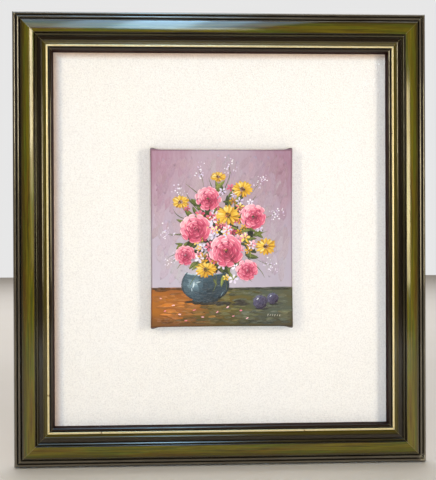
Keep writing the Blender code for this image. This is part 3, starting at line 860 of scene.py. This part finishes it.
def groundDabs(rng):
    # broad thin strokes over the air and along the table, each a little off the colour beneath it
    count = picture["groundStrokes"]
    a, b = rng.uniform(-93, 93, count), rng.uniform(picture["tableEdge"] + 14, 107, count)
    lift = b + rng.normal(0, 14, count)
    tint = paintTone("airs", (lift + 70) / 195)
    pull = np.clip((np.abs(a) + 0.75 * lift - 105) / 80, 0, 1)[:, None] * 0.8
    tint = tint + (np.array(picture["corner"]) - tint) * pull + rng.normal(0, 2.0, (count, 1))
    tint += rng.normal(0, 1.6, (count, 3))
    tint *= 1 - 0.06 * np.clip((a + 20) / 100, 0, 1)[:, None]
    angle = np.radians(rng.normal(80, 14, count))
    air = dabRows(a, b, angle, rng.uniform(18, 34, count), rng.uniform(8, 13, count),
                  rng.normal(0, 0.2, count), 0.8, 1, rng.uniform(0.0, 0.02, count),
                  rng.uniform(0.008, 0.018, count), tint)
    count = picture["tableStrokes"]
    a, b = rng.uniform(-92, 92, count), rng.uniform(-122, picture["tableEdge"] - 3.4, count)
    edge = picture["edgeStrokes"]
    b[:edge] = picture["tableEdge"] - 1.9 + rng.normal(0, 0.25, edge)
    a[:edge] = np.linspace(-94, 94, edge)
    tint = paintTone("tables", (a + rng.normal(0, 16, count) + 105) / 210)
    (glowA, reachA), (glowB, reachB), glowColour = picture["glow"]
    glow = np.exp(-((a - glowA) / reachA) ** 2 - ((b - glowB) / reachB) ** 2)[:, None]
    tint = tint + (np.array(glowColour) - tint) * glow * 0.75
    tint *= 1 + rng.normal(0, 0.13, (count, 1)) - 0.30 * np.clip((-112 - b) / 14, 0, 1)[:, None]
    tint[:edge] *= 0.62
    board = dabRows(a, b, rng.normal(0.01, 0.05, count), rng.uniform(9, 20, count),
                    rng.uniform(2.6, 4.6, count), rng.normal(0, 0.12, count), 0.4, 1,
                    rng.uniform(0.02, 0.05, count), rng.uniform(0.04, 0.1, count), tint,
                    tint * rng.normal(1.0, 0.08, (count, 1)))
    return np.concatenate([air, board])


def bowlDabs(rng):
    # Rows of short strokes follow a round belly. They curve like its rim, and their tone comes from a
    # light at the upper left, a dark right side and a weak glow on the far right. The belly's half width
    # is the root of one less a share of the squared height over or under its widest place.
    middleA, middleB, halfWide, halfTall = picture["bowl"]

    def bellyReach(level):
        return halfWide * np.sqrt(1 - 0.8 * (level - 0.1) ** 2 * np.where(level < 0.1, 1, 0.6))

    level, place = np.meshgrid(np.linspace(-0.94, 0.9, 16), np.linspace(-0.82, 0.82, 9), indexing="ij")
    level, place = level.ravel(), place.ravel()
    count = len(level)
    reach = bellyReach(level)
    a = middleA + reach * (place + rng.normal(0, 0.02, count))
    b = middleB + halfTall * level + 2.6 * (place ** 2 - 0.5)
    tone = 0.30 + 0.1 * level - 0.16 * place + rng.normal(0, 0.035, count)
    tone += 0.42 * np.exp(-((place + 0.46) / 0.2) ** 2 - ((level - 0.3) / 0.42) ** 2)
    tone += 0.2 * np.exp(-((place - 0.74) / 0.16) ** 2 - ((level + 0.3) / 0.4) ** 2)
    belly = dabRows(a, b, place * 0.3, reach * 0.34, halfTall * 0.19, 0.16, 0.5, 1, 0.09,
                    rng.uniform(0.05, 0.1, count), paintTone("slates", tone))
    level = np.linspace(-0.94, 0.9, 12)
    reach = bellyReach(level)
    slope = np.arctan2(halfTall, np.gradient(reach, level))
    walls = [dabRows(middleA + way * reach * 0.97, middleB + halfTall * level + 1.2, angle, 7.5, 3.2, 0,
                     0.6, 1, 0.15, 0.06 + 0.004 * np.arange(12), paintTone("slates", tone))
             for way, angle, tone in ((-1, math.pi - slope, 0.3 + 0.12 * level),
                                      (1, slope, 0.13 + 0.1 * level))]
    foot = np.linspace(-1, 1, 7)
    base = dabRows(middleA + 15 * foot, middleB - halfTall * 1.0 + 1.6 * foot ** 2, foot * 0.2, 8, 3.4,
                   0.1, 0.5, 1, 0.1, 0.06, paintTone("slates", 0.12 + 0.2 * (foot < -0.4)))
    edge = np.linspace(-0.95, 0.95, 11)
    rim = dabRows(middleA + halfWide * 0.82 * edge, middleB + halfTall * 0.96 + 3 * (edge ** 2 - 0.5),
                  edge * 0.28, 8, 1.8, 0.12, 0.5, 1, 0.14, 0.08, paintTone("slates", 0.74 - 0.2 * edge))
    gleam = dabRows([middleA - 17, middleA - 19.5, middleA - 10, middleA + 24],
                    [middleB + 4, middleB - 3, middleB + 8, middleB - 9], [1.35, 1.75, 0.2, 1.0],
                    [10, 5, 7, 8], [2.2, 1.5, 1.5, 1.2], [0.5, 0.3, 0.2, -0.5], 0.7, 1, 0.2, 0.12,
                    paintTone("slates", [1.0, 0.92, 0.95, 0.7]))
    dark = rng.uniform(0, 1, 34)
    shade = dabRows(middleA - 26 + 84 * dark, middleB - halfTall * 1.02 - rng.uniform(-1.5, 4.5, 34),
                    0.02, 15, 3.6, 0.05, 0.5, 1, rng.uniform(0.06, 0.09, 34), 0.05,
                    np.array([40, 34, 26]) + 12 * dark[:, None])
    return np.concatenate([shade, base, belly, *walls, rim, gleam])


def plumDabs(rng, a, b, size):
    # arcs of one round fruit, shaded from the upper left, with a pale gleam and a short stalk
    reach, turn = np.meshgrid((0.78, 0.5, 0.2), np.radians(np.arange(0, 360, 40)), indexing="ij")
    reach, turn = reach.ravel(), turn.ravel()
    turn = turn + rng.normal(0, 0.1, len(turn))
    tone = 0.30 + 0.26 * np.cos(turn - 2.3) * reach + rng.normal(0, 0.03, len(turn))
    tint = paintTone("slates", tone) + np.array([16, -8, 8])
    body = dabRows(a + size * reach * np.cos(turn), b + size * 0.94 * reach * np.sin(turn),
                   turn + math.pi / 2, size * 0.72, size * 0.46, 0.8, 0.5, 1, 0.12, 0.1, tint)
    gleam = dabRows(a - size * 0.36, b + size * 0.42, 0.7, size * 0.4, size * 0.16, -0.4, 0.7, 1, 0.24, 0.1,
                    (226, 230, 238))
    stalk = dabRows(a + 1.2, b + size * 1.02, 1.2, size * 0.5, 0.9, 0.5, 0.4, 1, 0.2, 0.08, (70, 60, 30))
    shade = dabRows(a + size * 0.25, b - size * 0.94, 0.02, size * 2.0, size * 0.34, 0.1, 0.6, 1, 0.08, 0.04,
                    (34, 32, 30))
    return np.concatenate([shade, body, gleam, stalk])


def leafDabs(rng, a, b, angle, length, width, tone, base):
    # a pointed body, a lighter half on its upper side and a thin pale midrib, for a whole array of leaves
    count = len(a)
    bend = rng.normal(0, 0.35, count)
    body = dabRows(a, b, angle, length, width, bend, 0.85, 0.8, base, rng.uniform(0.08, 0.16, count),
                   paintTone("greens", tone - 0.12), paintTone("greens", tone))
    side = np.where(np.cos(angle) > 0, 1.0, -1.0) * width * 0.22
    upper = dabRows(a - np.sin(angle) * side, b + np.cos(angle) * side, angle, length * 0.82,
                    width * 0.42, bend, 0.9, 0.8, base + 0.08, 0.07, paintTone("greens", tone + 0.12),
                    paintTone("greens", tone + 0.2))
    rib = dabRows(a, b, angle, length * 0.86, 0.5, bend, 0.5, 1, base + 0.13, 0.05,
                  paintTone("greens", tone + 0.34))
    return np.concatenate([body, upper, rib])


def roundBunch(rng, count, nearest, furthest):
    # places in a ring round the bunch, with the direction that points away from its middle
    middleA, middleB, halfWide, halfTall = picture["bunch"]
    turn = np.linspace(0, 2 * math.pi, count, endpoint=False) + rng.uniform(-0.12, 0.12, count)
    reach = rng.uniform(nearest, furthest, count)
    out = np.arctan2(halfTall * np.sin(turn), halfWide * np.cos(turn))
    return middleA + halfWide * reach * np.cos(turn), middleB + halfTall * reach * np.sin(turn), out, reach


def foliageDabs(rng):
    # Dark dabs fill the bunch, blades and leaves point away from its middle, and the outer leaves are paler
    a, b, out, reach = roundBunch(rng, picture["underleaves"], 0.05, 0.8)
    count = len(a)
    under = dabRows(a, b, out + rng.normal(0, 0.6, count), 22, 9, rng.normal(0, 0.3, count), 0.6, 1,
                    rng.uniform(0.03, 0.08, count), 0.06, paintTone("greens", rng.uniform(0, 0.28, count)))
    a, b, out, reach = roundBunch(rng, picture["blades"], 0.9, 1.12)
    count = len(a)
    blades = dabRows(a, b, out + rng.normal(0, 0.3, count), rng.uniform(24, 42, count),
                     rng.uniform(1.1, 1.8, count), rng.normal(0, 0.7, count), 0.6, 0.7, 0.12, 0.1,
                     paintTone("greens", 0.35), paintTone("greens", rng.uniform(0.4, 0.7, count)))
    a, b, out, reach = roundBunch(rng, picture["outerLeaves"], 0.62, 1.02)
    keep = b > picture["tableEdge"] + 5
    a, b, out, reach = a[keep], b[keep], out[keep], reach[keep]
    count = len(a)
    size = rng.uniform(12, 21, count)
    outer = leafDabs(rng, a, b, out + rng.normal(0, 0.5, count), size, size * rng.uniform(0.26, 0.4, count),
                     0.14 + 0.42 * np.clip((reach - 0.6) / 0.4, 0, 1) + rng.normal(0, 0.1, count), 0.14)
    return np.concatenate([under, blades, outer])


def innerLeafDabs(rng):
    # fresher leaves that come forward between the flowers
    a, b, out, reach = roundBunch(rng, picture["innerLeaves"], 0.3, 0.86)
    count = len(a)
    size = rng.uniform(10, 16, count)
    return leafDabs(rng, a, b, out + rng.normal(0, 0.7, count), size, size * 0.34,
                    rng.uniform(0.3, 0.62, count), 0.24)


def spokes(rng, count, spread):
    # even directions round a flower, turned together by chance, each a little off its place
    even = np.linspace(0, 2 * math.pi, count, endpoint=False)
    return even + rng.uniform(0, 1) + rng.normal(0, spread, count)


def blossomDabs(rng, paints, count):
    # small flowers of five short petals round a dark eye, scattered through the bunch
    a, b, out, reach = (one[:, None] for one in roundBunch(rng, count, 0.12, 1.0))
    turn = np.radians(72 * np.arange(5))[None, :] + rng.uniform(0, 6, (count, 1))
    size = rng.uniform(2.8, 4.6, (count, 1))
    tone = np.clip(rng.uniform(0.35, 0.95, (count, 1)) + 0.14 * np.cos(turn - 2.2), 0, 1).ravel()
    petals = dabRows((a + size * np.cos(turn)).ravel(), (b + size * 0.9 * np.sin(turn)).ravel(), turn.ravel(),
                     (size * 1.5 + 0 * turn).ravel(), (size * 0.95 + 0 * turn).ravel(), 0, 0.5, 1.2,
                     rng.uniform(0.2, 0.26, turn.size), 0.12, paintTone(paints, tone - 0.2),
                     paintTone(paints, tone))
    eyes = dabRows(a.ravel(), b.ravel(), 0.3, 1.4, 1.3, 0, 0.5, 1, 0.3, 0.12, paintTone("browns", 0.5))
    return np.concatenate([petals, eyes])


def roseDabs(rng, a, b, size):
    # Rings of petals from the outside in. A petal lies across its radius and bends round the middle, and
    # it is lighter where it faces the upper left; thin pale lips are laid over the petals' outer edges.
    disc = np.radians(np.arange(0, 360, 60))
    rows = [dabRows(a + size * 0.42 * np.cos(disc), b + size * 0.4 * np.sin(disc), disc + 1.4,
                    size * 0.95, size * 0.7, 0.9, 0.5, 1, 0.16, 0.08, paintTone("pinks", 0.22))]
    rings = ((0.84, 12, 0.50, 0.34, 0.62), (0.64, 10, 0.46, 0.30, 0.52), (0.46, 8, 0.40, 0.26, 0.44),
             (0.28, 6, 0.30, 0.20, 0.34), (0.12, 4, 0.20, 0.14, 0.16))
    for index, (reach, count, long, wide, tone) in enumerate(rings):
        turn = spokes(rng, count, 0.1)
        radius = size * reach * rng.normal(1, 0.04, count)
        light = tone + 0.2 * np.cos(turn - 2.2) + rng.normal(0, 0.08, count)
        petalA, petalB = a + radius * np.cos(turn), b + radius * 0.94 * np.sin(turn)
        rows.append(dabRows(petalA, petalB, turn + math.pi / 2, size * long * rng.normal(1, 0.12, count),
                            size * wide, rng.normal(0.75, 0.15, count), 0.45, 1, 0.2 + 0.05 * index,
                            rng.uniform(0.1, 0.2, count), paintTone("pinks", light - 0.08),
                            paintTone("pinks", light + 0.05)))
        lipA, lipB = a + radius * 1.13 * np.cos(turn), b + radius * 1.06 * np.sin(turn)
        rows.append(dabRows(lipA, lipB, turn + math.pi / 2 + rng.normal(0, 0.15, count),
                            size * long * 0.72, max(size * 0.075, 0.7), 0.9, 0.6, 1, 0.3 + 0.05 * index,
                            rng.uniform(0.08, 0.16, count), paintTone("pinks", light + 0.34)))
    return np.concatenate(rows)


def daisyDabs(rng, a, b, size, squash):
    # Two layers of petals run out like spokes, squashed to an ellipse by the flower's tilt, round a
    # stippled brown middle
    rows = []
    for layer, (count, reach, tone) in enumerate(((15, 1.0, 0.36), (13, 0.86, 0.62))):
        turn = spokes(rng, count, 0.08)
        spokeA, spokeB = np.cos(turn), squash * np.sin(turn)
        light = tone + 0.12 * np.cos(turn - 2.2) + rng.normal(0, 0.1, count)
        out = rng.normal(0.6, 0.03, count) * size * reach
        rows.append(dabRows(a + out * spokeA, b + out * spokeB,
                            np.arctan2(spokeB, spokeA) + rng.normal(0, 0.12, count),
                            size * reach * 0.74 * np.hypot(spokeA, spokeB), size * 0.27,
                            rng.normal(0, 0.3, count), 0.6, 1.25, 0.24 + 0.07 * layer,
                            rng.uniform(0.1, 0.18, count), paintTone("yellows", light - 0.2),
                            paintTone("yellows", light + 0.14)))
    turn = rng.uniform(0, 2 * math.pi, 16)
    reach = size * 0.2 * np.sqrt(rng.uniform(0, 1, 16))
    rows.append(dabRows(a + reach * np.cos(turn), b + reach * squash * np.sin(turn), turn, size * 0.13,
                        size * 0.11, 0, 0.6, 1, 0.4, rng.uniform(0.08, 0.18, 16),
                        paintTone("browns", rng.uniform(0, 0.9, 16))))
    return np.concatenate(rows)


def sprayDabs(rng, a, b, degrees):
    # a thin bent stem with round white dots scattered about its outer half
    angle = math.radians(degrees)
    count = 24
    along = rng.uniform(-6, 17, count)
    aside = rng.normal(0, 4.6, count)
    dotA = np.clip(a + along * math.cos(angle) - aside * math.sin(angle), -98, 98)
    dotB = np.clip(b + along * math.sin(angle) + aside * math.cos(angle), -66, 120)
    size = rng.uniform(0.9, 2.2, count)
    stems = dabRows([a - 8 * math.cos(angle), a], [b - 8 * math.sin(angle), b], [angle, angle + 0.3],
                    [24, 15], [0.6, 0.5], [0.3, -0.5], 0.4, 1, 0.08, 0.06, paintTone("greens", 0.5))
    dots = dabRows(dotA, dotB, rng.uniform(0, 3, count), size * 1.2, size, 0, 0.5, 1, 0.1,
                   rng.uniform(0.12, 0.28, count), paintTone("whites", rng.uniform(0.2, 1.1, count)))
    return np.concatenate([stems, dots])


def looseDabs(rng):
    # fallen petals on the table, and a short row of shallow pale strokes at the lower right
    a, b = np.array(picture["fallenPetals"], dtype=float).T
    count = len(a)
    petals = dabRows(a, b, rng.normal(0.1, 0.5, count), rng.uniform(3, 5.5, count),
                     rng.uniform(1.4, 2.4, count), 0.4, 0.6, 1, 0.12, 0.14,
                     paintTone("pinks", rng.uniform(0.6, 1.0, count)))
    marks = dabRows(66 + 3.4 * np.arange(6), -111 + rng.normal(0, 0.5, 6),
                    np.radians([78, 62, 84, 70, 58, 80]), [4.2, 2.6, 3.0, 4.6, 2.4, 3.2], 0.7,
                    [0.2, -0.4, 0.5, -0.2, 0.6, -0.3], 0.5, 1, 0.1, 0.05, (222, 214, 200))
    return np.concatenate([petals, marks])


def oilPaintMaterial():
    # Oil paint in its own colours, streaked and ridged along each dab by the brush, with a soft gloss
    material, tree, shader = newMaterial("oil_paint")
    bristle = readAttribute(tree, "bristle").outputs["Vector"]
    paint = readAttribute(tree, "paint").outputs["Color"]
    hairs = noise(stretched(bristle, (120, 3000, 1000)), 1, 3, 0.6)
    drag = noise(stretched(bristle, (300, 1300, 1000)), 1, 2, 0.5)
    base = mixColours(fitRange(drag, 0.5, 0.75, 0, 0.5), paint, (0.62, 0.6, 0.62, 1), "MULTIPLY")
    base = mixColours(fitRange(hairs, 0.5, 0.7, 0, 0.14), base, (1, 0.97, 0.92, 1), "SCREEN")
    fillInputs(shader, {"Base Color": base, "Roughness": fitRange(hairs, 0.3, 0.7, 0.3, 0.46),
                        "Specular IOR Level": 0.4, "Normal": raised(hairs, 0.00006)})
    return material


def makePicture():
    # Each layer of paint is one piece, from the ground to the loose petals. The ninth number of a row is a
    # dab's height over the cloth, so the large flowers are lifted there.
    rng = np.random.default_rng(picture["seed"])
    oil = oilPaintMaterial()
    small = {paints: blossomDabs(rng, paints, count) for paints, count in picture["blossoms"]}
    fruit = [plumDabs(rng, *one) for one in picture["plums"]]
    sprays = [sprayDabs(rng, *one) for one in picture["sprays"]]
    lift = picture["flowerLift"] * (np.arange(16) == 8)
    roses = [roseDabs(rng, *one) + lift for one in picture["roses"]]
    daisies = [daisyDabs(rng, *one) + lift for one in picture["daisies"]]
    layDabs("paint_ground", groundDabs(rng), oil)
    layDabs("paint_bowl_and_fruit", np.concatenate([bowlDabs(rng)] + fruit), oil)
    layDabs("paint_foliage", np.concatenate([foliageDabs(rng), innerLeafDabs(rng)]), oil)
    layDabs("paint_white_sprays", np.concatenate([small["whites"]] + sprays), oil)
    layDabs("paint_pink_roses", np.concatenate([small["pinks"]] + roses), oil)
    layDabs("paint_yellow_daisies", np.concatenate([small["yellows"]] + daisies), oil)
    layDabs("paint_loose_petals", looseDabs(rng), oil)


makePicture()

# The camera stands where the photograph was taken from
view = {"place": (-0.06513, -1.3, -0.30145), "yaw": 2.685, "pitch": -0.2553, "roll": -0.2175, "lens": 66.45}


def makeCamera():
    # Yaw and pitch in degrees give the direction of sight, and roll turns the camera's sides about it
    yaw, pitch, roll = (math.radians(view[name]) for name in ("yaw", "pitch", "roll"))
    forward = Vector((math.sin(yaw) * math.cos(pitch), math.cos(yaw) * math.cos(pitch), math.sin(pitch)))
    right = Vector((math.cos(yaw), -math.sin(yaw), 0))
    up = right.cross(forward)
    turnedRight = right * math.cos(roll) + up * math.sin(roll)
    turnedUp = up * math.cos(roll) - right * math.sin(roll)
    lens = bpy.data.cameras.new("camera")
    lens.lens = view["lens"]
    lens.sensor_width = 36
    camera = bpy.data.objects.new("camera", lens)
    turn = Matrix((turnedRight, turnedUp, -forward)).transposed().to_4x4()
    camera.matrix_world = Matrix.Translation(view["place"]) @ turn
    bpy.context.scene.collection.objects.link(camera)
    bpy.context.scene.camera = camera


makeCamera()

# The floor, the lights and the dim room
studio = {
    "floorDrop": 0.0015,      # the floor lies this far under the frame
    "floorHalf": 6,
    "room": (0.17, 0.145, 0.115),
    "backdrop": (0.8, 0.8, 0.8),
}
# A window or the overhead light is two or three panes, so that its reflection fades at its edges. The
# left window's panes stand one under another, and the other panes are one inside the other.
# name: place, point aimed at, width, height, watts, colour
lights = {
    "overhead_wide": ((-0.26, -0.35, 0.92), (-0.2, -0.05, -0.2), 0.95, 1.04, 7.2, (0.32, 0.62, 1.0)),
    "overhead_middle": ((-0.11, -0.35, 0.92), (-0.08, -0.05, -0.2), 0.44, 1.04, 5.6, (0.36, 0.65, 1.0)),
    "overhead_core": ((-0.1, -0.35, 0.92), (-0.08, -0.05, -0.2), 0.18, 1.04, 4.9, (0.36, 0.68, 1.0)),
    "right_window": ((1.33, -1.3, -0.135), (0.1, 0, -0.25), 0.37, 0.66, 7.2, (1.0, 0.88, 0.56)),
    "right_window_core": ((1.33, -1.3, -0.16), (0.1, 0, -0.25), 0.37, 0.32, 1.6, (1.0, 0.87, 0.6)),
    "left_window": ((-1.245, -1.36, 0.31), (-0.1, 0, -0.25), 0.25, 0.68, 8.8, (1.0, 0.9, 0.66)),
    "left_window_middle": ((-1.22, -1.38, -0.095), (-0.1, 0, -0.25), 0.32, 0.13, 0.85, (1.0, 0.88, 0.5)),
    "left_window_foot": ((-1.22, -1.38, -0.28), (-0.1, 0, -0.25), 0.32, 0.24, 0.36, (1.0, 0.88, 0.45)),
    "front_lamp": ((0.03, -1.5, 1.4), (0, 0, -0.3), 0.34, 0.13, 0.8, (0.92, 1.0, 0.9)),
    "front_fill": ((-0.07, -1.6, -0.44), (0, 0, -0.36), 0.5, 0.24, 10.4, (0.62, 0.8, 1.0)),
    "upper_fill": ((0, -1.5, 0.75), (0, 0, -0.3), 0.6, 0.9, 3.3, (0.9, 0.8, 0.84)),
    "right_fill": ((1.3, -1.35, 0.1), (0, 0, -0.3), 0.3, 0.3, 6.5, (0.8, 0.85, 1.0)),
    "back_lamp": ((0, 2.6, 2.2), (0, 2.2, -0.6), 3.6, 3.6, 90, (1.0, 1.0, 1.0)),
}


def floorMaterial():
    # pale matt paint under soft clouds
    material, tree, shader = newMaterial("pale_floor")
    cloud = fitRange(noise(objectPlace(tree), 3, 2), 0.3, 0.7)
    fillInputs(shader, {"Base Color": mixColours(cloud, (0.84, 0.81, 0.77, 1), (0.86, 0.83, 0.8, 1)),
                        "Roughness": 0.8})
    return material


def makeStudio():
    level = bottomEdge - studio["floorDrop"]
    half = studio["floorHalf"]
    corners = [(-half, -half, level), (half, -half, level), (half, half, level), (-half, half, level)]
    mesh = bpy.data.meshes.new("floor")
    mesh.from_pydata(corners, [], [(0, 1, 2, 3)])
    mesh.materials.append(floorMaterial())
    floor = bpy.data.objects.new("floor", mesh)
    bpy.context.scene.collection.objects.link(floor)
    for name, (place, target, wide, tall, watts, colour) in lights.items():
        lamp = bpy.data.lights.new(name, "AREA")
        lamp.shape = "RECTANGLE"
        lamp.size, lamp.size_y = wide, tall
        lamp.energy = watts
        lamp.color = colour
        holder = bpy.data.objects.new(name, lamp)
        holder.location = place
        holder.rotation_euler = (Vector(target) - Vector(place)).to_track_quat("-Z", "Y").to_euler()
        # a fill lights the picture and isn't seen in the lacquer, and an overhead pane the other way round
        holder.visible_glossy = "fill" not in name
        holder.visible_diffuse = "overhead" not in name
        bpy.context.scene.collection.objects.link(holder)
    world = bpy.data.worlds.new("studio")
    world.use_nodes = True
    bpy.context.scene.world = world
    # the room lights the object dimly, and a pale backdrop shows behind it
    tree = world.node_tree
    room = tree.nodes["Background"]
    room.inputs["Color"].default_value = (*studio["room"], 1)
    backdrop = addNode(tree, "ShaderNodeBackground", None, {"Color": (*studio["backdrop"], 1)})
    path = addNode(tree, "ShaderNodeLightPath")
    seen = addNode(tree, "ShaderNodeMixShader", None, {0: path.outputs["Is Camera Ray"]})
    tree.links.new(room.outputs[0], seen.inputs[1])
    tree.links.new(backdrop.outputs[0], seen.inputs[2])
    tree.links.new(seen.outputs[0], tree.nodes["World Output"].inputs["Surface"])
    bpy.context.scene.view_settings.view_transform = "Standard"


makeStudio()
